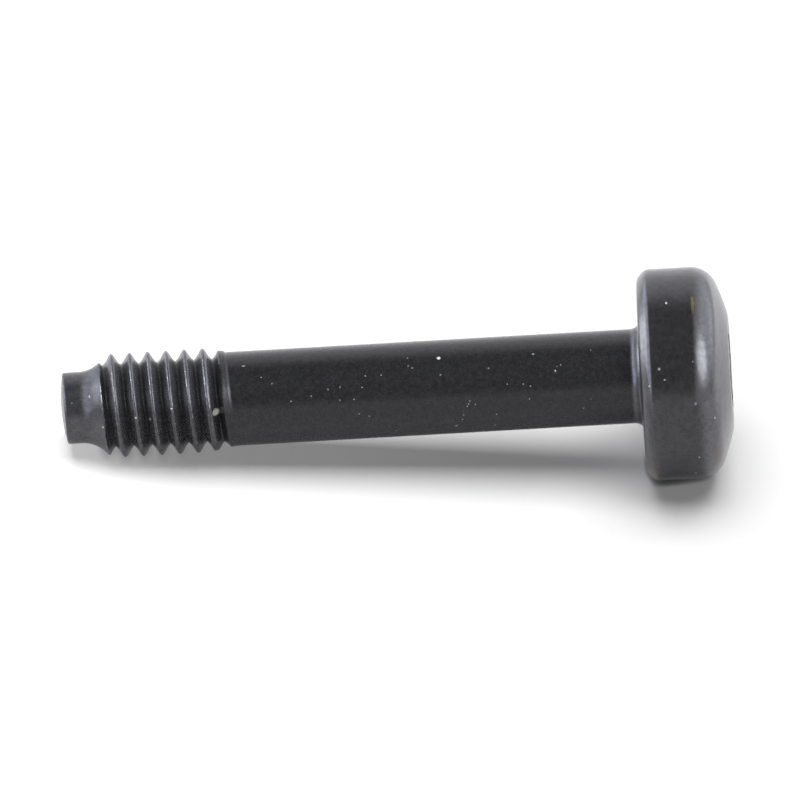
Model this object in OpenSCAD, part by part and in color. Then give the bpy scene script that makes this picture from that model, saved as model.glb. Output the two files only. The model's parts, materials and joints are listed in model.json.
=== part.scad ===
// Hexalobular pan head screw with a plain shank and a dog point.
// One forged and thread-rolled piece, drawn lying at rest on the floor z = 0.
// The head is at +X. All sizes are in millimetres.

/* [Thread] */
// Diameter over the thread crests
thread_d = 4; // [3.8:0.1:4.4]
// Distance from crest to crest
pitch = 0.7; // [0.6:0.05:0.8]
// Where the full thread ends, measured from the end of the point
thread_end = 5.5; // [5:0.1:12]
// Length over which the crests sink into the shank
run_out = 1.35; // [0.8:0.05:1.6]
// From the flare to the first full crest that touches the floor
first_crest = 0.56; // [0.4:0.01:0.57]

/* [Point] */
// Diameter of the dog point
dog_d = 2.74; // [2.5:0.02:2.8]
// Length of the dog point, up to the flare
dog_len = 1.195; // [0.8:0.005:2]
// Angle of the flare to the axis
flare_a = 42; // [38:1:45]
// Radius of the concave foot of the flare
flare_r = 0.6; // [0.3:0.05:0.7]
// Height of the dome on the end
end_dome = 0.15; // [0.05:0.01:0.2]
// Rounding of the end's edge
end_edge = 0.08; // [0.04:0.01:0.15]

/* [Shank] */
// Diameter of the plain shank
shank_d = 3.6; // [3.4:0.02:3.7]
// Length under the head, with the point
length = 22.25; // [16:0.05:40]
// Fillet between the shank and the head
neck_r = 0.28; // [0.1:0.02:0.4]

/* [Head] */
// Diameter of the head
head_d = 8.1; // [7.4:0.1:9]
// Height of the head
head_h = 3.41; // [3.2:0.01:3.8]
// Rounding of the rim beside the bearing face
rim_r = 0.45; // [0.2:0.05:0.8]
// Rounding of the shoulder
shoulder_r = 1.05; // [0.6:0.05:1.3]
// Radius of the domed crown
crown_r = 9; // [8:0.5:14]
// Diameter of the flat on the top
flat_d = 4.3; // [4.2:0.05:5]

/* [Recess] */
// Diameter across the lobes
lobe_d = 3.95; // [3.6:0.05:4]
// Depth of the flutes between the lobes
flute_depth = 0.555; // [0.5:0.005:0.6]
// Depth of the straight walls
recess_depth = 1.6; // [1:0.1:1.9]
// Turn of the recess about the axis
recess_turn = 12; // [0:1:60]

/* [Hidden] */
$fn = 64;
steel = [0.2, 0.2, 0.22];
// How far one piece of the section runs into the next
bury = 0.1;

// Thread, with 60 degree flanks, a narrow crest and a narrow root
crest_r = thread_d / 2;
groove_depth = 0.6134 * pitch;
root_r = crest_r - groove_depth;
crest_half = pitch / 16;
root_half = pitch / 2 - crest_half - groove_depth * tan(30);
turn_steps = 36;
half_step = 0.5 / turn_steps;
// One turn of its profile: distance along the axis and share of the groove's depth
turn_profile = [
    [-crest_half, 0],
    [crest_half, 0],
    [pitch / 2 - root_half, 1],
    [pitch / 2 + root_half, 1]
];

// Point
dog_r = dog_d / 2;
foot = flare_r * tan(flare_a / 2);
foot_end = [dog_r + foot * sin(flare_a), dog_len + foot * cos(flare_a)];
dome_r = (pow(dog_r, 2) + pow(end_dome, 2)) / (2 * end_dome);
edge_r = dog_r - end_edge;
edge_z = dome_r - sqrt(pow(dome_r - end_edge, 2) - pow(edge_r, 2));
dome_a = asin(edge_r / (dome_r - end_edge));

// Shank
shank_r = shank_d / 2;

// The point and the shank are turned, and the threaded length joins them.
// Its flare stands a little proud of the turned one, so that the two cross cleanly.
lip = 0.02;
point_r = max(foot_end.x + lip, (foot_end.x + root_r) / 2);
point_top = dog_len + (point_r - dog_r) / tan(flare_a);
flare_end = dog_len + (crest_r - dog_r - lip) / tan(flare_a);
shank_z = thread_end + 0.8 * run_out;
shank_depth = crest_r - shank_r + lip;
thread_lo = point_top - bury;
thread_hi = thread_end + run_out + bury;
// A crest lies underneath here, and the rows of points along the thread start some turns before it,
// with a turn to spare at each end
touch_z = flare_end + first_crest;
row_z = touch_z - pitch * (ceil((touch_z - thread_lo) / pitch) + 1);
profile_n = len(turn_profile);
rows = profile_n * (ceil((thread_hi - row_z) / pitch) + 2);

// Head
head_r = head_d / 2;
flat_r = flat_d / 2;
top_z = length + head_h;
crown_z = top_z - sqrt(pow(crown_r, 2) - pow(flat_r, 2));
shoulder_z = crown_z + sqrt(pow(crown_r - shoulder_r, 2) - pow(head_r - shoulder_r, 2));
shoulder_a = atan2(shoulder_z - crown_z, head_r - shoulder_r);
crown_edge = [crown_r * cos(shoulder_a), crown_z + crown_r * sin(shoulder_a)];

// Recess: six lobes and six flutes, each arc running into the next
lobe_c = 0.4228 * lobe_d;
lobe_r = lobe_d / 2 - lobe_c;
flute_near = lobe_d / 2 - flute_depth;
flute_gap = flute_near - lobe_c * cos(30) - lobe_r;
flute_sq = pow(lobe_r, 2) - pow(flute_near, 2) - pow(lobe_c, 2) + 2 * lobe_c * flute_near * cos(30);
flute_r = flute_sq / (2 * flute_gap);
flute_c = flute_near + flute_r;
cone_r = 0.94 * flute_near;
cone_h = cone_r * tan(30);

// Rest: the rim of the head and the first full crest both touch the floor
rest_run = length + rim_r - touch_z;
rest_rise = head_r - rim_r - crest_r;
rest_a = atan2(rest_rise, rest_run) + asin(rim_r / norm([rest_run, rest_rise]));
rest_z = crest_r * cos(rest_a) - touch_z * sin(rest_a);
// The lying screw reaches from its end, where the dome or else the edge reaches furthest,
// to the lower edge of the flat top
dome_back = dome_r * (cos(rest_a) - 1);
edge_back = edge_z * cos(rest_a) - edge_r * sin(rest_a) - end_edge;
back_x = rest_a < dome_a ? dome_back : edge_back;
front_x = top_z * cos(rest_a) + flat_r * sin(rest_a);

// Half section of the dog point, with its domed end and the foot of the flare
module point_section() {
    difference() {
        polygon([
            [0, edge_z],
            [dog_r, edge_z],
            [dog_r, dog_len - foot],
            foot_end,
            [point_r, point_top],
            [0, point_top]
        ]);
        translate([dog_r + flare_r, dog_len - foot]) circle(flare_r);
    }
    translate([edge_r, edge_z]) circle(end_edge);
    intersection() {
        translate([0, dome_r]) circle(dome_r);
        square([edge_r, edge_z]);
    }
}

// Half section of the plain shank, with the fillet under the head
module shank_section() {
    difference() {
        polygon([
            [0, shank_z],
            [shank_r, shank_z],
            [shank_r, length - neck_r],
            [shank_r + neck_r, length],
            [shank_r + neck_r, length + bury],
            [0, length + bury]
        ]);
        translate([shank_r + neck_r, length - neck_r]) circle(neck_r);
    }
}

// Half section of the head
module head_section() {
    polygon([
        [0, length],
        [head_r - rim_r, length],
        [head_r, length + rim_r],
        [head_r, shoulder_z],
        crown_edge,
        [0, crown_edge.y]
    ]);
    translate([head_r - rim_r, length + rim_r]) circle(rim_r);
    translate([head_r - shoulder_r, shoulder_z]) circle(shoulder_r);
    intersection() {
        translate([0, crown_z]) circle(crown_r);
        translate([0, crown_edge.y]) square([head_r, top_z - crown_edge.y]);
    }
}

// Outline of the hexalobular recess
module recess_outline() {
    difference() {
        polygon([for (i = [0:11]) (i % 2 == 0 ? lobe_c : flute_c) * [cos(30 * i), sin(30 * i)]]);
        for (i = [1:2:11]) rotate(30 * i) translate([flute_c, 0]) circle(flute_r);
    }
    for (i = [0:2:10]) rotate(30 * i) translate([lobe_c, 0]) circle(lobe_r);
}

// Recess with its conical bottom
module recess() {
    translate([0, 0, top_z - recess_depth]) {
        linear_extrude(recess_depth + bury) recess_outline();
        translate([0, 0, -cone_h]) cylinder(h = cone_h + bury, r1 = 0, r2 = cone_r * (1 + bury / cone_h));
    }
}

// Radius of the threaded length without its groove: the flare, the crests and the run-out
function blank_r(z) = min(
    crest_r,
    dog_r + lip + (z - dog_len) * tan(flare_a),
    shank_r + (crest_r - shank_r) * (thread_end + run_out - z) / run_out
);

// Over the last half turn the groove rises to just under the shank's surface, where the crest runs on
function groove_share(z) = min(1, max(0, (shank_z - z) / (pitch / 2)));
function groove_at(z) = shank_depth + (groove_depth - shank_depth) * groove_share(z);

function thread_r(z, share) = min(blank_r(z), crest_r - share * groove_at(z));

// Point of row m at step j of a turn. Within half a step of the thread's ends, and beyond them,
// the row lies on a plane ring that is buried in the point or in the shank.
function thread_point(m, j) =
    let (p = turn_profile[m % profile_n])
    let (turns = j / turn_steps + half_step)
    let (z = row_z + pitch * (floor(m / profile_n) + turns) + p.x)
    let (below = z < thread_lo + pitch * half_step)
    let (above = z > thread_hi - pitch * half_step)
    let (r = below ? dog_r : above ? shank_r - bury : thread_r(z, p.y))
    [r * cos(360 * turns), r * sin(360 * turns), below ? thread_lo : above ? thread_hi : z];

// After a full turn, each row has become the row one pitch further on
function thread_id(m, j) = j < turn_steps ? j * rows + m : min(m + profile_n, rows - 1);

module thread() {
    steps = [0:turn_steps - 1];
    polyhedron(
        points = [for (j = steps, m = [0:rows - 1]) thread_point(m, j)],
        faces = concat(
            [[for (j = steps) thread_id(0, j)]],
            [for (j = steps, m = [0:rows - 2]) each [
                [thread_id(m, j), thread_id(m + 1, j), thread_id(m + 1, j + 1)],
                [thread_id(m, j), thread_id(m + 1, j + 1), thread_id(m, j + 1)]
            ]],
            [[for (j = steps) thread_id(rows - 1, turn_steps - 1 - j)]]
        )
    );
}

// The whole screw, standing on its point
module upright() {
    rotate_extrude() point_section();
    thread();
    difference() {
        rotate(180 / $fn) rotate_extrude() {
            shank_section();
            head_section();
        }
        rotate(recess_turn) recess();
    }
}

module screw() {
    color(steel)
        translate([-(back_x + front_x) / 2, 0, rest_z])
            rotate([0, 90 - rest_a, 0])
                upright();
}

screw();
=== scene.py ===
"""Looks of a black hexalobular pan head screw that lies on a white floor.

The screw is one mesh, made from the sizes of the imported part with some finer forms, and placed by
the part's mounts. Places along its axis are counted from the end of the point.
Lengths are in millimetres until they reach Blender, which takes metres.
"""

import json
from math import atan2, ceil, cos, exp, floor, pi, radians, sin, sqrt, tan

import bmesh
import bpy
from mathutils import Matrix, Vector, noise


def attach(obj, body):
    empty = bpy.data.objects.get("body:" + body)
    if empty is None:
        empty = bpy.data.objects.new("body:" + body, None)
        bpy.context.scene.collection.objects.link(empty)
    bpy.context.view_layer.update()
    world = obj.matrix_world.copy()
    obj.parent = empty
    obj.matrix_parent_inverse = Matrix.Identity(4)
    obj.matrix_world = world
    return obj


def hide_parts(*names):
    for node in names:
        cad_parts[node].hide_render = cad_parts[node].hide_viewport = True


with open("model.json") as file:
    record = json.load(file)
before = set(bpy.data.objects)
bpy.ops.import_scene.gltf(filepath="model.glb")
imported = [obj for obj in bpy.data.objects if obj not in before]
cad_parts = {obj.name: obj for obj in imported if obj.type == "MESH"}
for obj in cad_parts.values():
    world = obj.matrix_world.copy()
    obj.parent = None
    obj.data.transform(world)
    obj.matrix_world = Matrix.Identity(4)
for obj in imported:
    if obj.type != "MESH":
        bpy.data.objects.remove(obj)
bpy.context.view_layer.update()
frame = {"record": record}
MM = 0.001

# Thread: where it ends along the axis, the length over which its crests then sink into the shank,
# the way from the end of the flare to the first full crest underneath, and the groove's depth per pitch
THREAD_D = 4.0
PITCH = 0.7
THREAD_END = 5.5
RUN_OUT = 1.35
FIRST_CREST = 0.56
DEPTH_SHARE = 0.6134
CREST_R = THREAD_D / 2
GROOVE_DEPTH = DEPTH_SHARE * PITCH
CREST_HALF = PITCH / 16
# Share of the run-out over which the sinking crests level off at its end
RUN_OUT_BEND = 0.4
# Share of the run-out at which the groove ends, and the length over which it rises to there
GROOVE_END = 0.7
GROOVE_RISE = PITCH / 2
# Rounding that rolling leaves: width of the corners, and how much deeper a round root goes
CREST_ROUND = 0.12
ROOT_ROUND = 0.22
ROOT_DEEPER = 0.025
# Width of the corner where the ridges come out of the flare, and of a corner that is sharp
FLARE_ROUND = 0.03
SHARP = 0.001
# Seam that the rolled metal leaves along the crest: the share of its depth that it has everywhere,
# and its waves in a turn and along the axis
SEAM_DEPTH = 0.014
SEAM_WIDTH = 0.016
SEAM_LEAST = 0.4
SEAM_WAVES = (5, 2)
# Nicks in the crests: their depth, how far down the flanks they reach, their fineness along and around
NICK_DEPTH = 0.012
NICK_REACH = 0.1
NICK_FINENESS = (9, 14)

# Point: the flare has a round foot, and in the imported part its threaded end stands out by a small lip
DOG_R = 1.37
DOG_LEN = 1.195
FLARE_A = radians(42)
FLARE_R = 1.2
FLARE_LIP = 0.02
END_DOME = 0.15
END_EDGE = 0.08
# The end is sheared off at a slant: its length, the side that stands back, how far the middle does,
# and the place along the axis from which the slant fades
END_SLANT = 0.1
END_SLANT_A = radians(285)
END_BACK = 0.013
END_FADE = 0.2

# Shank, with a fillet under the head: its height off the shank and its length
SHANK_R = 1.8
LENGTH = 22.25
NECK_R = 0.28
NECK_LONG = 0.4

# Head: the rim is a flat at 45 degrees, and the soft values round its edges and that of the flat top
HEAD_R = 4.045
HEAD_H = 3.41
RIM = 0.34
RIM_SOFT = 0.32
SHOULDER_R = 1.05
CROWN_R = 9.0
FLAT_R = 2.15
FLAT_SOFT = 0.8
TOP_Z = LENGTH + HEAD_H

# Recess: its lobes are centred at a share of its diameter, and its bottom is a cone within the flutes
LOBE_D = 3.95
LOBE_SHARE = 0.4228
FLUTE_DEPTH = 0.555
RECESS_DEPTH = 1.6
RECESS_TURN = radians(12)
MOUTH_EDGE = 0.06
CONE_SHARE = 0.94

# Fineness of the mesh, and how far the thread's rows crowd together on its crests and in its roots
COLUMNS = 240
ROWS_PER_PITCH = 24
ROW_CROWDING = 0.75
# Points that lie closer than this are one, and edges that bend more than this stay sharp
WELD_GAP = 0.0008
SHARP_EDGE = radians(50)

# Derived sizes
FOOT_Z = DOG_LEN - FLARE_R * tan(FLARE_A / 2)
FLARE_END = DOG_LEN + (CREST_R - DOG_R - FLARE_LIP) / tan(FLARE_A)
TOUCH_Z = FLARE_END + FIRST_CREST
GROOVE_STOP = THREAD_END + GROOVE_END * RUN_OUT
SHANK_DEPTH = CREST_R - SHANK_R
CROWN_Z = TOP_Z - sqrt(CROWN_R**2 - FLAT_R**2)
SHOULDER_Z = CROWN_Z + sqrt((CROWN_R - SHOULDER_R) ** 2 - (HEAD_R - SHOULDER_R) ** 2)
SHOULDER_A = atan2(SHOULDER_Z - CROWN_Z, HEAD_R - SHOULDER_R)
FLAT_EDGE = sqrt((CROWN_R - FLAT_SOFT) ** 2 - (TOP_Z - FLAT_SOFT - CROWN_Z) ** 2)
FLAT_A = atan2(TOP_Z - FLAT_SOFT - CROWN_Z, FLAT_EDGE)
LOBE_C = LOBE_SHARE * LOBE_D
LOBE_R = LOBE_D / 2 - LOBE_C
FLUTE_NEAR = LOBE_D / 2 - FLUTE_DEPTH
FLUTE_R = (LOBE_R**2 - FLUTE_NEAR**2 - LOBE_C**2 + 2 * LOBE_C * FLUTE_NEAR * cos(pi / 6)) / (
    2 * (FLUTE_NEAR - LOBE_C * cos(pi / 6) - LOBE_R)
)
FLUTE_C = FLUTE_NEAR + FLUTE_R
CONE_R = CONE_SHARE * FLUTE_NEAR
CONE_H = CONE_R * tan(pi / 6)

# Where the thread's rows take over from the point's, before its first cut, and how far beyond
# the run-out the shank's follow
THREAD_LO = 1.3
THREAD_SPARE = 0.2
THREAD_HI = THREAD_END + RUN_OUT + THREAD_SPARE

# Placement: the mount in the recess gives the axis and, in metres, the middle of the top
MOUNTS = {mount["name"]: mount for mount in frame["record"]["mounts"]}
AXIS = Vector(MOUNTS["recess"]["axis"])
TOP = Vector(MOUNTS["recess"]["pos_m"])
DOWN = Vector((AXIS.z, 0, -AXIS.x))
BACK = Vector((0, 1, 0))


def outward(angle):
    """Direction away from the axis: down at an angle of 0, and to the back a quarter turn on."""
    return cos(angle) * DOWN + sin(angle) * BACK


def place(z, r, angle):
    """The point at z along the axis and r from it, at an angle as above."""
    return TOP + MM * ((z - TOP_Z) * AXIS + r * outward(angle))


# Profiles

def soft_min(a, b, width):
    """The lesser of two lengths, with a rounded corner of about that width."""
    h = max(width - abs(a - b), 0) / width
    return min(a, b) - h * h * width / 4


def step(value, low, high):
    """A soft step from 0 at low to 1 at high."""
    t = min(max((value - low) / (high - low), 0), 1)
    return t * t * (3 - 2 * t)


def fade(value, low, high, start, end):
    """A soft change from start, where the value is low, to end, where it is high."""
    return start + (end - start) * step(value, low, high)


def scatter(z, angle, fineness, shift=0):
    """Noise on the surface, closed round the axis, with its fineness along and around it."""
    along, around = fineness
    return noise.noise((around * cos(angle), around * sin(angle), along * z + shift))


def arc(centre_z, centre_r, radius, start, end, count):
    """Points (z, r) along an arc. An angle of 0 points away from the axis, a right angle to the head."""
    angles = [start + (end - start) * i / count for i in range(count + 1)]
    return [(centre_z + radius * sin(a), centre_r + radius * cos(a)) for a in angles]


def between(start, end, count):
    """Points (z, r) that divide a straight stretch, without its ends."""
    shares = [i / count for i in range(1, count)]
    return [(start[0] + t * (end[0] - start[0]), start[1] + t * (end[1] - start[1])) for t in shares]


def flare_radius(z):
    """Radius of the flare: a round foot, and then a straight cone."""
    if z > FOOT_Z + FLARE_R * sin(FLARE_A):
        return DOG_R + (z - DOG_LEN) * tan(FLARE_A)
    return DOG_R + FLARE_R - sqrt(FLARE_R**2 - (z - FOOT_Z) ** 2)


def point_rows():
    """Half section of the dog point, from the middle of its end to the foot of the thread."""
    dome_r = (DOG_R**2 + END_DOME**2) / (2 * END_DOME)
    edge_r = DOG_R - END_EDGE
    edge_z = dome_r - sqrt((dome_r - END_EDGE) ** 2 - edge_r**2)
    edge_a = atan2(edge_z - dome_r, edge_r)
    dome = arc(dome_r, 0, dome_r, -pi / 2, edge_a, count=8)
    edge = arc(edge_z, edge_r, END_EDGE, edge_a, 0, count=6)
    side = between(edge[-1], (FOOT_Z, DOG_R), count=6)
    bend = [(z, flare_radius(z)) for z, _ in between((FOOT_Z, 0), (THREAD_LO, 0), count=12)]
    rows = dome[1:] + edge[1:] + side + [(FOOT_Z, DOG_R)] + bend
    return rows + [(THREAD_LO, flare_radius(THREAD_LO))]


def slanted(z, r, angle):
    """Moves the end's points to its slant, and the dog's side less and less up to the flare."""
    share = 1 - step(z, END_FADE, FOOT_Z)
    return z + share * (END_BACK + END_SLANT / 2 * r / DOG_R * cos(angle - END_SLANT_A))


def shank_and_head_rows():
    """Half section from the end of the thread to the edge of the flat top."""
    quarter = arc(0, 0, 1, 0, pi / 2, count=10)
    neck = [(LENGTH - NECK_LONG * (1 - z), SHANK_R + NECK_R * (1 - r)) for z, r in quarter]
    soft = RIM_SOFT * tan(pi / 8)
    rim = arc(LENGTH + RIM_SOFT, HEAD_R - RIM - soft, RIM_SOFT, -pi / 2, -pi / 4, count=6)
    rim += arc(LENGTH + RIM + soft, HEAD_R - RIM_SOFT, RIM_SOFT, -pi / 4, 0, count=6)
    shoulder = arc(SHOULDER_Z, HEAD_R - SHOULDER_R, SHOULDER_R, 0, SHOULDER_A, count=14)
    crown = arc(CROWN_Z, 0, CROWN_R, SHOULDER_A, FLAT_A, count=8)
    flat = arc(TOP_Z - FLAT_SOFT, FLAT_EDGE, FLAT_SOFT, FLAT_A, pi / 2, count=4)
    rows = between((THREAD_HI, SHANK_R), neck[0], count=24) + neck
    rows += between(neck[-1], rim[0], count=5) + rim
    rows += between(rim[-1], shoulder[0], count=6) + shoulder
    return rows + crown[1:] + flat[1:]


def lobe_radius(angle):
    """Radius of the recess outline at an angle from the middle of a lobe."""
    off = abs((angle + pi / 6) % (pi / 3) - pi / 6)
    share = LOBE_R / (LOBE_R + FLUTE_R)
    meet = atan2(share * FLUTE_C * sin(pi / 6), (1 - share) * LOBE_C + share * FLUTE_C * cos(pi / 6))
    if off < meet:
        return LOBE_C * cos(off) + sqrt(LOBE_R**2 - (LOBE_C * sin(off)) ** 2)
    rest = pi / 6 - off
    return FLUTE_C * cos(rest) - sqrt(FLUTE_R**2 - (FLUTE_C * sin(rest)) ** 2)


def from_crest(z, angle):
    """Distance along the axis from the nearest crest, below 0 on its side towards the point."""
    turns = (z - TOUCH_Z) / PITCH - angle / (2 * pi)
    return (turns - floor(turns + 0.5)) * PITCH


def groove_share(z):
    """How much of the groove's depth is left, where it rises to the shank."""
    return min(1, max(0, (GROOVE_STOP - z) / GROOVE_RISE))


def ridge_radius(z, angle):
    """Radius of the rolled ridges, with a seam on the crest and round roots."""
    off = abs(from_crest(z, angle))
    flank = (off - CREST_HALF) / tan(pi / 6)
    full = groove_share(z)
    bottom = SHANK_DEPTH + (GROOVE_DEPTH + ROOT_DEEPER - SHANK_DEPTH) * full
    depth = soft_min(-soft_min(0, -flank, CREST_ROUND), bottom, ROOT_ROUND * full + SHARP)
    around, along = SEAM_WAVES
    wave = 0.5 + 0.5 * sin(around * angle + along * z)
    seam = SEAM_DEPTH * exp(-((off / SEAM_WIDTH) ** 2)) * (SEAM_LEAST + (1 - SEAM_LEAST) * wave)
    nick = NICK_DEPTH * max(0, scatter(z, angle, NICK_FINENESS)) * max(0, 1 - depth / NICK_REACH)
    return CREST_R - depth - (seam + nick) * full


def run_out_radius(z):
    """Radius to which the crests reach: they sink in a straight line that levels off on the shank."""
    left = max(0, (THREAD_END + RUN_OUT - z) / RUN_OUT)
    line = (2 * left - RUN_OUT_BEND) * RUN_OUT_BEND
    sink = left * left if left < RUN_OUT_BEND else line
    return SHANK_R + SHANK_DEPTH * sink / ((2 - RUN_OUT_BEND) * RUN_OUT_BEND)


def thread_radius(z, angle):
    """Radius of the threaded length: its ridges start on the flare and sink into the shank."""
    blank = min(flare_radius(z), run_out_radius(z))
    return soft_min(ridge_radius(z, angle), blank, FLARE_ROUND * groove_share(z) + SHARP)


# Finish and painted light and shade, on the points of the mesh. Tones say how strongly it reflects, and
# many
# of them paint light and shade: painted shade in the recess and the thread's roots, painted light on the
# thread's flanks and painted reflections on the head, as said below.
DOG_TONE = 0.8
RECESS_SHADE_TONE = 0.4
CREST_TONE = 0.85
ROOT_SHADE_TONE = 0.65
POINT_FLANK_LIT_TONE = 1.3
HEAD_FLANK_LIT_TONE = 1.5
# Distances from a crest over which its flank begins, and over which the root does
FLANK_FROM = (0.04, 0.1)
ROOT_FROM = (0.14, 0.32)


def thread_tone_and_painted_light(z, angle):
    """Tone on the thread: painted light on the flanks, most on those that face the head, and painted
    shade in the roots.
    """
    off = from_crest(z, angle)
    flank = HEAD_FLANK_LIT_TONE if off > 0 else POINT_FLANK_LIT_TONE
    tone = fade(abs(off), *FLANK_FROM, CREST_TONE, flank)
    return fade(abs(off), *ROOT_FROM, tone, ROOT_SHADE_TONE)


def tone_and_painted_light(z, r, angle):
    """Tone at a place on the screw: painted shade in the recess, low on the shank, high on the crown as a
    painted reflection.
    """
    if r < FLAT_R and LENGTH < z < TOP_Z - MOUTH_EDGE / 2:
        return RECESS_SHADE_TONE
    down = cos(angle)
    # Where along the axis each change starts, where it is complete, and the tone that it leads to
    changes = (
        # Flare, brighter below as a painted reflection, and thread with its painted light and shade
        (FOOT_Z + 0.2, DOG_LEN + 0.1, fade(down, -0.6, -0.1, 0.55, 0.9)),
        (THREAD_LO + 0.3, THREAD_LO + 0.6, thread_tone_and_painted_light(z, angle)),
        # Shank
        (THREAD_END + 0.35, THREAD_END + 0.65, 0.42),
        # Fillet under the head, painted brighter as a reflection, with painted shade in its middle that
        # is darkest above
        (LENGTH - NECK_LONG, LENGTH - NECK_LONG + 0.12, 1.3),
        (LENGTH - 0.26, LENGTH - 0.18, fade(down, -0.75, -0.35, 0.25, 0.7)),
        # Bearing face, with a painted highlight that is brightest beside the fillet
        (LENGTH - 0.1, LENGTH - 0.04, fade(r, 2.3, 2.8, 2.8, 1.6)),
        # Rim and side of the head
        (LENGTH + 0.08, LENGTH + 0.25, 1.0),
        (LENGTH + 0.3, LENGTH + 0.6, 0.72),
        # Shoulder, brighter below as a painted reflection, and crown, painted bright as a reflection
        (SHOULDER_Z, SHOULDER_Z + 0.5, fade(down, -0.45, 0.1, 0.95, 1.55)),
        (TOP_Z - 0.74, TOP_Z - 0.5, 1.85),
    )
    tone = DOG_TONE
    for low, high, target in changes:
        tone = fade(z, low, high, tone, target)
    return tone


# Wear, and on the crests painted highlight too: where it ends along the axis, how far the bright lines
# reach from the flare's edge and from the edges of a crest, and how strong both are on average
WEAR_AND_HIGHLIGHT_END = THREAD_END + 0.5
FLARE_WEAR = 0.08
CREST_LINE_REACH = 0.022
FLARE_WORN = 0.5
CREST_WORN = 0.2
# The edges of a crest that face the point and the head: how far they lie from its middle, how bright
# their lines are below and above, a painted highlight that is strongest above on the edge facing the
# point and below on the one facing the head, and the cosines of the angles between which that changes
CREST_EDGE = 0.9 * CREST_HALF
POINT_EDGE_WORN_AND_LIT = (0.4, 1.4)
HEAD_EDGE_WORN_AND_LIT = (1.15, 0.65)
BELOW_TO_ABOVE = (0.3, -0.9)
# How strongly the lines are broken, how finely, and a shift that breaks the two edges at different places
BREAKS = 2.2
BREAK_FINENESS = (2.5, 12)
HEAD_EDGE_SHIFT = 40


def worn_and_highlit(z, angle):
    """How far the finish is worn off in broken lines along the flare, and along the edges of the crests,
    where the lines are also a painted highlight.
    """
    if not THREAD_LO < z < WEAR_AND_HIGHLIGHT_END:
        return 0
    off = from_crest(z, angle)
    to_head = off > 0
    broken = BREAKS * scatter(z, angle, BREAK_FINENESS, HEAD_EDGE_SHIFT if to_head else 0)
    below_flare = flare_radius(z) - ridge_radius(z, angle)
    flare_line = max(0, 1 - abs(below_flare) / FLARE_WEAR) * min(1, max(0, FLARE_WORN + broken))
    if below_flare < 0:
        return flare_line
    shares = HEAD_EDGE_WORN_AND_LIT if to_head else POINT_EDGE_WORN_AND_LIT
    share = fade(cos(angle), *BELOW_TO_ABOVE, *shares)
    edge = abs(abs(off) - CREST_EDGE)
    crest_line = max(0, 1 - edge / CREST_LINE_REACH) * min(1, max(0, CREST_WORN + broken) * share)
    return max(flare_line, crest_line)


# Warm tints: middle along the axis, angle, reach along the axis, reach in angle
WARM_PLACES = (
    (LENGTH + 0.3, radians(308), 0.3, radians(14)),
    (TOP_Z - 0.4, radians(300), 0.4, radians(16)),
)


def warm_tint(z, angle):
    """Where the finish has a warm tint: on the lower rim and at the lower edge of the crown."""
    total = 0
    for at_z, at_angle, reach_z, reach_angle in WARM_PLACES:
        turn = (angle - at_angle + pi) % (2 * pi) - pi
        total += exp(-(((z - at_z) / reach_z) ** 2) - (turn / reach_angle) ** 2)
    return min(1, total)


# Meshes

def new_piece(name, mesh, material):
    """A new object in the scene with this mesh and material."""
    piece = bpy.data.objects.new(name, mesh)
    bpy.context.scene.collection.objects.link(piece)
    mesh.materials.append(material)
    return piece


def helical_starts():
    """Where the rows of the threaded length start: each turn, a row climbs by one pitch.

    A turn and a half is to spare before the thread and a turn after it.
    """
    first = TOUCH_Z - PITCH * (ceil((TOUCH_Z - THREAD_LO) / PITCH) + 1.5)
    count = ROWS_PER_PITCH * (ceil((THREAD_HI - first) / PITCH) + 1)
    evens = [m / ROWS_PER_PITCH for m in range(count)]
    return [first + PITCH * (t - ROW_CROWDING * sin(4 * pi * (t - 0.5)) / (4 * pi)) for t in evens]


def recess_rows():
    """Rows (z, radius by angle) from the flat top over the rounded mouth down to the conical bottom."""
    def outline(angle):
        return lobe_radius(angle - RECESS_TURN)

    wall = RECESS_DEPTH - MOUTH_EDGE
    rows = []
    # Flat top
    for t in (0.5, 0.8):
        rows.append((TOP_Z, lambda a, t=t: (1 - t) * FLAT_EDGE + t * (outline(a) + MOUTH_EDGE)))
    # Mouth
    for inward, height in arc(0, 0, 1, 0, pi / 2, count=4):
        z = TOP_Z - MOUTH_EDGE * (1 - height)
        rows.append((z, lambda a, inward=inward: outline(a) + MOUTH_EDGE * (1 - inward)))
    # Wall
    for share in (0.3, 0.6, 0.95, 1):
        rows.append((TOP_Z - MOUTH_EDGE - share * wall, outline))
    # Bottom
    for share in (0, 0.33, 0.66):
        z = TOP_Z - RECESS_DEPTH - share * CONE_H
        rows.append((z, lambda a, share=share: CONE_R * (1 - share)))
    return rows


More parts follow.
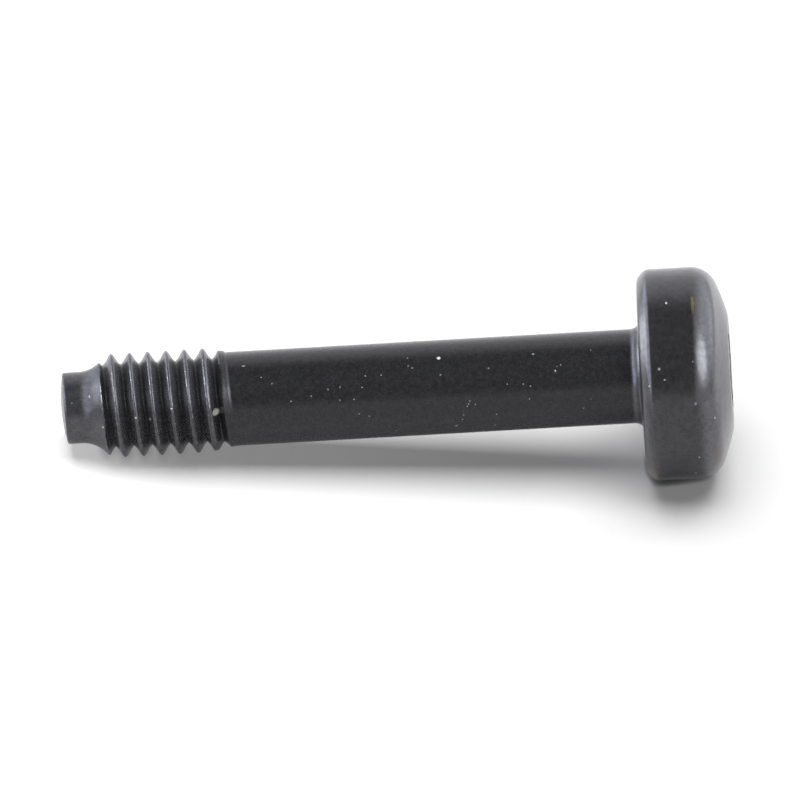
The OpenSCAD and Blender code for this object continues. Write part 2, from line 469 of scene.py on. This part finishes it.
def screw_mesh():
    """One grid of points: rings along the point, helical rows along the thread, rings to the recess."""
    mesh = bmesh.new()
    layers = {name: mesh.verts.layers.float.new(name) for name in ("tone", "wear_and_highlight", "warm", "matt")}
    angles = [2 * pi * j / COLUMNS for j in range(COLUMNS)]

    def vertex(z, r, angle):
        made = mesh.verts.new(place(slanted(z, r, angle), r, angle))
        made[layers["tone"]] = tone_and_painted_light(z, r, angle)
        made[layers["wear_and_highlight"]] = worn_and_highlit(z, angle)
        made[layers["warm"]] = warm_tint(z, angle)
        made[layers["matt"]] = 1 - step(z, LENGTH - NECK_LONG, LENGTH)
        return made

    def ring(z, radius):
        return [vertex(z, radius(a), a) for a in angles]

    def skin(rings):
        for low, high in zip(rings, rings[1:]):
            for j in range(COLUMNS):
                k = (j + 1) % COLUMNS
                mesh.faces.new((low[j], low[k], high[k], high[j]))

    def cap(edge, tip):
        for j in range(COLUMNS):
            mesh.faces.new((edge[j], edge[(j + 1) % COLUMNS], tip))

    # Point
    rings = [ring(z, lambda a, r=r: r) for z, r in point_rows()]
    skin(rings)
    cap(rings[0], vertex(0, 0, 0))

    # Thread: beyond its ends a row lies on the ring that the thread joins
    grid = []
    for start in helical_starts():
        heights = [min(max(start + PITCH * a / (2 * pi), THREAD_LO), THREAD_HI) for a in angles]
        grid.append([vertex(z, thread_radius(z, a), a) for z, a in zip(heights, angles)])
    for m in range(len(grid) - 1):
        for j in range(COLUMNS - 1):
            mesh.faces.new((grid[m][j], grid[m][j + 1], grid[m + 1][j + 1], grid[m + 1][j]))
        n = m + ROWS_PER_PITCH
        if n + 1 < len(grid):
            mesh.faces.new((grid[m][-1], grid[n][0], grid[n + 1][0], grid[m + 1][-1]))

    # Shank, head and recess
    rings = [ring(THREAD_HI, lambda a: SHANK_R)]
    rings += [ring(z, lambda a, r=r: r) for z, r in shank_and_head_rows()]
    rings += [ring(z, radius) for z, radius in recess_rows()]
    skin(rings)
    cap(rings[-1], vertex(TOP_Z - RECESS_DEPTH - CONE_H, 0, 0))

    bmesh.ops.remove_doubles(mesh, verts=mesh.verts, dist=WELD_GAP * MM)
    bmesh.ops.recalc_face_normals(mesh, faces=mesh.faces)
    for face in mesh.faces:
        face.smooth = True
    made = bpy.data.meshes.new("screw_body")
    mesh.to_mesh(made)
    mesh.free()
    made.set_sharp_from_angle(angle=SHARP_EDGE)
    return made


# Materials

class Graph:
    """Short calls for the nodes of one material or world."""

    def __init__(self, tree):
        self.nodes = tree.nodes
        self.links = tree.links

    def add(self, kind, values=(), **settings):
        """A new node with these settings, whose inputs are fed by other nodes or hold plain values."""
        made = self.nodes.new("ShaderNode" + kind)
        for name, setting in settings.items():
            setattr(made, name, setting)
        for key, value in dict(values).items():
            self.feed(made.inputs[key], value)
        return made

    def feed(self, socket, value):
        if isinstance(value, bpy.types.NodeSocket):
            self.links.new(value, socket)
        else:
            socket.default_value = value

    def math(self, operation, first, second=0.0):
        return self.add("Math", {0: first, 1: second}, operation=operation).outputs["Value"]

    def scale(self, vector, factor):
        values = {"Vector": vector, "Scale": factor}
        return self.add("VectorMath", values, operation="SCALE").outputs["Vector"]

    def ramp(self, value, low, high, to_low=0.0, to_high=1.0):
        values = {"Value": value, "From Min": low, "From Max": high, "To Min": to_low, "To Max": to_high}
        return self.add("MapRange", values, interpolation_type="SMOOTHSTEP").outputs["Result"]

    def mix(self, factor, first, second, blend="MIX"):
        made = self.add("Mix", {"Factor": factor}, data_type="RGBA", blend_type=blend)
        for name, colour in (("A", first), ("B", second)):
            self.feed(made.inputs[name], (*colour, 1) if isinstance(colour, tuple) else colour)
        return made.outputs["Result"]

    def noise(self, vector, scale, detail=4.0):
        values = {"Vector": vector, "Scale": scale, "Detail": detail}
        return self.add("TexNoise", values).outputs["Fac"]

    def attribute(self, name):
        return self.add("Attribute", attribute_name=name).outputs["Fac"]


# Specks of dust: place along the axis, distance from it, angle in degrees,
# half length along the axis, half width around it, strength
SPECKS = (
    (0.48, DOG_R, 230, 0.035, 0.035, 0.3),
    (1.17, 1.45, 222, 0.03, 0.07, 0.4),
    (1.62, 1.75, 265, 0.04, 0.04, 0.8),
    (1.92, 1.9, 234, 0.035, 0.05, 0.6),
    (2.91, 1.9, 253, 0.045, 0.045, 0.8),
    (3.43, 1.85, 258, 0.05, 0.05, 1),
    (4.29, 1.9, 245, 0.045, 0.04, 0.7),
    (5.94, 1.66, 254, 0.18, 0.17, 0.8),
    (7.11, SHANK_R, 195, 0.08, 0.03, 0.6),
    (14.57, SHANK_R, 200, 0.08, 0.08, 1),
    (15.09, SHANK_R, 295, 0.07, 0.03, 0.6),
    (18.18, SHANK_R, 202, 0.06, 0.035, 0.6),
    (19, SHANK_R, 226, 0.03, 0.05, 0.7),
    (23.39, HEAD_R, 196, 0.045, 0.06, 0.9),
    (23, HEAD_R, 235, 0.06, 0.06, 0.45),
    (23.19, HEAD_R, 241, 0.045, 0.04, 0.5),
    (22.59, HEAD_R, 244, 0.035, 0.05, 0.5),
    (24.29, HEAD_R, 232, 0.035, 0.035, 0.3),
    (24.31, HEAD_R, 255, 0.06, 0.07, 0.3),
    (24.31, HEAD_R, 291, 0.04, 0.06, 0.5),
    (24.12, HEAD_R, 309, 0.05, 0.07, 0.6),
    (25, 3.75, 266, 0.04, 0.05, 0.5),
)
# Finer specks on the shank: half length, half width and strength of all, then place and angle of each
FINE_SPECK = (0.031, 0.031, 0.45)
FINE_SPECKS = (
    (7.77, 213), (8.17, 222), (8.86, 245), (9.64, 240), (10.3, 233), (10.73, 247), (10.76, 231),
    (11.27, 247), (11.43, 266), (11.6, 233), (11.74, 219), (11.81, 270), (12.35, 219), (12.8, 299),
    (13.38, 197), (13.4, 209), (13.55, 212), (14.61, 223), (15.35, 283), (15.4, 276), (15.56, 264),
    (15.62, 261), (15.67, 257), (15.88, 262), (16.45, 218), (16.56, 298), (16.66, 278), (17.14, 239),
    (17.75, 240), (17.95, 259), (18.02, 243), (19.21, 219), (19.99, 276), (20.38, 201),
)
# Mark on the shoulder where a warm metal has rubbed off, in the order of the specks
RUB = (24.38, 4.03, 198, 0.065, 0.5, 0.75)
# How far a speck reaches into and out of the surface, and its soft edge as shares of its half sizes
SPECK_REACH = 0.3
SPECK_EDGE = (0.6, 1.1)
# Dust all over: cells per metre, the share of them that stays bare, and the size and strength of a speck
DUST_CELLS = 1500.0
DUST_BARE = (0.86, 0.88)
DUST_SIZE = (0.02, 0.06)
DUST_STRENGTH = 0.4


def speck(graph, coords, z, r, degrees, along, around, strength):
    """The strength within a small ellipse on the surface, 0 outside it."""
    angle = radians(degrees)
    out = outward(angle)
    turn = Matrix((AXIS, out, AXIS.cross(out))).transposed().to_euler()
    values = {
        "Vector": coords,
        "Location": place(z, r, angle),
        "Rotation": turn,
        "Scale": Vector((along, SPECK_REACH, around)) * MM,
    }
    local = graph.add("Mapping", values, vector_type="TEXTURE").outputs["Vector"]
    length = graph.add("VectorMath", {0: local}, operation="LENGTH").outputs["Value"]
    return graph.ramp(length, *SPECK_EDGE, strength, 0.0)


def all_dust(graph, coords):
    """Sparse dust in the middles of a few cells of a random pattern, and the specks listed above."""
    cells = graph.add("TexVoronoi", {"Vector": coords, "Scale": DUST_CELLS})
    draw = graph.add("SeparateColor", {0: cells.outputs["Color"]}).outputs[0]
    spot = graph.ramp(cells.outputs["Distance"], *DUST_SIZE, DUST_STRENGTH, 0.0)
    dust = graph.math("MULTIPLY", graph.ramp(draw, *DUST_BARE), spot)
    fine = tuple((z, SHANK_R, degrees, *FINE_SPECK) for z, degrees in FINE_SPECKS)
    for place_and_size in SPECKS + fine:
        dust = graph.math("MAXIMUM", dust, speck(graph, coords, *place_and_size))
    return dust


# Black finish: its colours, and those of what lies on it or shows through it
DARK_OXIDE = (0.065, 0.065, 0.071)
LIGHT_OXIDE = (0.09, 0.09, 0.097)
WARM_TINT = (0.125, 0.095, 0.08)
BARE_STEEL_AND_HIGHLIGHT = (0.36, 0.36, 0.37)
DUST = (0.5, 0.49, 0.47)
WARM_METAL = (0.27, 0.19, 0.085)
METALLIC = 0.72
EDGE_TINT = (0.87, 0.87, 0.89, 1)
# Strongest share of the warm tint and of the bare steel with its painted highlight, and the value from
# which that shows
WARM_SHARE = 0.6
BARE_AND_LIT_SHARE = 0.75
BARE_AND_LIT_FROM = 0.25
# Mottle and grain: scale per metre and detail of two noises
COARSE_MOTTLE = (4500, 4)
FINE_MOTTLE = (13000, 2)
MOTTLE_RANGE = (0.75, 1.25)
COARSE_GRAIN = (2600, 4)
COARSE_GRAIN_SHARE = 1.2
FINE_GRAIN = (5200, 6)
GRAIN_STRENGTH = 0.12
GRAIN_HEIGHT = 0.02
# Roughness: scale per metre and range of its noise, its own range, and what matt places and dust add
ROUGH_SCALE = 7000
ROUGH_RANGE = (0.3, 0.7)
ROUGHNESS = (0.18, 0.23)
MATT_ROUGHNESS = 0.06
DUST_ROUGHNESS = 0.4


def oxide_colour(graph, coords, dust):
    """The mottled finish with its painted light and shade, its warm tints, its worn and highlit edges,
    the dust and the rubbed mark.
    """
    mottle = graph.math("ADD", graph.noise(coords, *COARSE_MOTTLE), graph.noise(coords, *FINE_MOTTLE))
    colour = graph.mix(graph.ramp(mottle, *MOTTLE_RANGE), DARK_OXIDE, LIGHT_OXIDE)
    colour = graph.scale(colour, graph.attribute("tone"))
    warm = graph.math("MULTIPLY", graph.attribute("warm"), WARM_SHARE)
    colour = graph.mix(warm, colour, WARM_TINT)
    wear_and_highlight = graph.ramp(graph.attribute("wear_and_highlight"), BARE_AND_LIT_FROM, 1.0, 0.0, BARE_AND_LIT_SHARE)
    colour = graph.mix(wear_and_highlight, colour, BARE_STEEL_AND_HIGHLIGHT)
    colour = graph.mix(dust, colour, DUST)
    return graph.mix(speck(graph, coords, *RUB), colour, WARM_METAL)


def black_oxide():
    material = bpy.data.materials.new("black_oxide")
    material.use_nodes = True
    graph = Graph(material.node_tree)
    shader = graph.nodes["Principled BSDF"]
    shader.inputs["Metallic"].default_value = METALLIC
    shader.inputs["Specular Tint"].default_value = EDGE_TINT
    coords = graph.add("TexCoord").outputs["Object"]
    dust = all_dust(graph, coords)
    graph.feed(shader.inputs["Base Color"], oxide_colour(graph, coords, dust))

    rough = graph.ramp(graph.noise(coords, ROUGH_SCALE), *ROUGH_RANGE, *ROUGHNESS)
    rough = graph.math("ADD", rough, graph.math("MULTIPLY", graph.attribute("matt"), MATT_ROUGHNESS))
    rough = graph.math("ADD", rough, graph.math("MULTIPLY", dust, DUST_ROUGHNESS))
    graph.feed(shader.inputs["Roughness"], rough)

    coarse = graph.math("MULTIPLY", graph.noise(coords, *COARSE_GRAIN), COARSE_GRAIN_SHARE)
    grain = graph.math("ADD", graph.noise(coords, *FINE_GRAIN), coarse)
    values = {"Height": grain, "Strength": GRAIN_STRENGTH, "Distance": GRAIN_HEIGHT * MM}
    graph.feed(shader.inputs["Normal"], graph.add("Bump", values).outputs["Normal"])
    return material


# Floor: a white table with a little light of its own, which changes over these stretches of x:
# along the screw, beyond its tip and to its right. Behind the screw it changes along y.
FLOOR_HALF = 3000
FLOOR_WHITE = (0.85, 0.85, 0.85, 1)
FLOOR_ROUGHNESS = 0.9
GLOW_COLOUR = (1, 1, 1, 1)
GLOW = (0.22, 0.16)
GLOW_X = (-7, 9)
TIP_GLOW = 0.28
TIP_GLOW_X = (-13.2, -7.5)
RIGHT_GLOW = 0.5
RIGHT_GLOW_X = (16, 40)
BACK_GLOW = 0.3
BACK_GLOW_Y = (8, 30)
# It glows less where something is nearer than this gap, and the more so towards the head
CONTACT_GAP = 0.35
CONTACT_DARK = (0.5, 2.5)


def floor_white():
    material = bpy.data.materials.new("floor_white")
    material.use_nodes = True
    graph = Graph(material.node_tree)
    shader = graph.nodes["Principled BSDF"]
    shader.inputs["Base Color"].default_value = FLOOR_WHITE
    shader.inputs["Roughness"].default_value = FLOOR_ROUGHNESS
    shader.inputs["Specular IOR Level"].default_value = 0.0
    shader.inputs["Emission Color"].default_value = GLOW_COLOUR
    in_mm = graph.scale(graph.add("TexCoord").outputs["Object"], 1 / MM)
    x, y, _ = graph.add("SeparateXYZ", {0: in_mm}).outputs
    glow = graph.ramp(x, *GLOW_X, *GLOW)
    glow = graph.math("ADD", glow, graph.ramp(x, *TIP_GLOW_X, TIP_GLOW, 0.0))
    glow = graph.math("ADD", glow, graph.ramp(x, *RIGHT_GLOW_X, 0.0, RIGHT_GLOW))
    glow = graph.math("ADD", glow, graph.ramp(y, *BACK_GLOW_Y, 0.0, BACK_GLOW))
    open_share = graph.add("AmbientOcclusion", {"Distance": CONTACT_GAP * MM}, samples=8).outputs["AO"]
    near = graph.math("POWER", open_share, graph.ramp(x, *GLOW_X, *CONTACT_DARK))
    graph.feed(shader.inputs["Emission Strength"], graph.math("MULTIPLY", glow, near))
    return material


def make_floor():
    half = FLOOR_HALF * MM
    mesh = bpy.data.meshes.new("floor")
    corners = [(x * half, y * half, 0) for x, y in ((-1, -1), (1, -1), (1, 1), (-1, 1))]
    mesh.from_pydata(corners, [], [(0, 1, 2, 3)])
    new_piece("floor", mesh, floor_white())


# Camera: it looks down at the screw from the side, from far away
IMAGE_PX = 800
PX_PER_MM = 26.16
SENSOR = 36.0
CAMERA_DISTANCE = 1000
VIEW_ELEVATION = radians(32)
VIEW_YAW = radians(1.7)
# Slope of the screw's axis in the picture, the place on the axis that lies in the picture's middle
# column, and how far above the picture's middle it lies
AXIS_SLOPE = radians(3.25)
MIDDLE_Z = 12.99
MIDDLE_ABOVE_PX = 10.6


def view_axes():
    """The camera's directions right, up and back, rolled to the slope that the screw shows."""
    flat = cos(VIEW_ELEVATION)
    back = Vector((-sin(VIEW_YAW) * flat, -cos(VIEW_YAW) * flat, sin(VIEW_ELEVATION)))
    right = Vector((0, 0, 1)).cross(back).normalized()
    up = back.cross(right)
    roll = Matrix.Rotation(atan2(AXIS.dot(up), AXIS.dot(right)) - AXIS_SLOPE, 3, back)
    return roll @ right, roll @ up, back


def make_camera():
    data = bpy.data.cameras.new("camera")
    data.sensor_width = SENSOR
    data.lens = SENSOR * CAMERA_DISTANCE * PX_PER_MM / IMAGE_PX
    camera = bpy.data.objects.new("camera", data)
    bpy.context.scene.collection.objects.link(camera)
    bpy.context.scene.camera = camera
    right, up, back = view_axes()
    target = place(MIDDLE_Z, 0, 0) - up * MM * MIDDLE_ABOVE_PX / PX_PER_MM
    turn = Matrix((right, up, back)).transposed().to_4x4()
    camera.matrix_world = Matrix.Translation(target + back * CAMERA_DISTANCE * MM) @ turn


# Light: a wide soft light above for the floor, in watts, and a studio that only shows in reflections
LIGHT_HEIGHT = 1000
LIGHT_SPREAD = radians(25)
LIGHT_POWER = 13.0


def make_light():
    data = bpy.data.lights.new("overhead", "AREA")
    data.size = 2 * LIGHT_HEIGHT * tan(LIGHT_SPREAD) * MM
    data.energy = LIGHT_POWER
    light = bpy.data.objects.new("overhead", data)
    light.location = (0, 0, LIGHT_HEIGHT * MM)
    light.visible_camera = False
    light.visible_glossy = False
    bpy.context.scene.collection.objects.link(light)


# Brightness of the studio's walls, and the angles to the right between which they change
STUDIO = (1.5, 1.5, 1.52)
LEFT = (3.15, 3.29, 3.75)
LEFT_SIDE = (radians(-30), radians(-19))
RIGHT = (2.85, 2.93, 3.05)
RIGHT_SIDE = (radians(5), radians(35))
# They are dimmer down at the horizon, up to these angles above it
HORIZON = (1.0, 1.0, 1.02)
LEFT_RISE = radians(12)
RIGHT_RISE = radians(25)
# Dark opening behind the camera: its angles to the right and above the horizon, and its soft edges
DARK = (0.15, 0.15, 0.15)
STRIP_SIDE = (radians(-19), radians(5))
STRIP_SIDE_SOFT = radians(3)
STRIP_RISE = (radians(4), radians(121))
STRIP_RISE_SOFT = radians(18)
# Softboxes: angle to the right of the view axis, angle above it, radius and strength
SOFTBOXES = (
    (radians(-88), radians(20), radians(28), 3.4),
    (radians(37), radians(16), radians(26), 5.4),
)


def make_world():
    world = bpy.data.worlds.new("studio")
    bpy.context.scene.world = world
    world.use_nodes = True
    world.cycles_visibility.diffuse = False
    graph = Graph(world.node_tree)
    coords = graph.add("TexCoord").outputs["Generated"]

    def window(value, edges, soft):
        low, high = edges
        inside = graph.ramp(value, low - soft, low + soft)
        return graph.math("MULTIPLY", inside, graph.ramp(value, high - soft, high + soft, 1.0, 0.0))

    # Walls and opening, by three angles: to the right, above the horizon, and up over from the camera
    turned = graph.add("VectorRotate", {"Vector": coords, "Angle": VIEW_YAW}, rotation_type="Z_AXIS")
    x, y, z = graph.add("SeparateXYZ", {0: turned.outputs["Vector"]}).outputs
    side = graph.math("ARCSINE", x)
    level = graph.math("ARCSINE", z)
    rise = graph.math("ARCTAN2", z, graph.math("MULTIPLY", y, -1.0))
    left_wall = graph.mix(graph.ramp(level, 0.0, LEFT_RISE), HORIZON, LEFT)
    right_wall = graph.mix(graph.ramp(level, 0.0, RIGHT_RISE), HORIZON, RIGHT)
    colour = graph.mix(graph.ramp(side, *LEFT_SIDE, 1.0, 0.0), STUDIO, left_wall)
    colour = graph.mix(graph.ramp(side, *RIGHT_SIDE), colour, right_wall)
    across = window(side, STRIP_SIDE, STRIP_SIDE_SOFT)
    strip = graph.math("MULTIPLY", across, window(rise, STRIP_RISE, STRIP_RISE_SOFT))
    colour = graph.mix(strip, colour, DARK)

    # Softboxes
    right, up, back = view_axes()
    for azimuth, elevation, width, strength in SOFTBOXES:
        aim = cos(elevation) * (sin(azimuth) * right + cos(azimuth) * back) + sin(elevation) * up
        dot = graph.add("VectorMath", {0: coords, 1: aim}, operation="DOT_PRODUCT").outputs["Value"]
        box = graph.ramp(dot, cos(width), cos(width / 2), 0.0, strength)
        colour = graph.mix(1.0, colour, box, "ADD")
    graph.feed(graph.nodes["Background"].inputs["Color"], colour)


body = new_piece("screw_body", screw_mesh(), black_oxide())
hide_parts("screw")
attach(body, "root")

make_camera()
make_floor()
make_light()
make_world()
bpy.context.scene.view_settings.view_transform = "Standard"
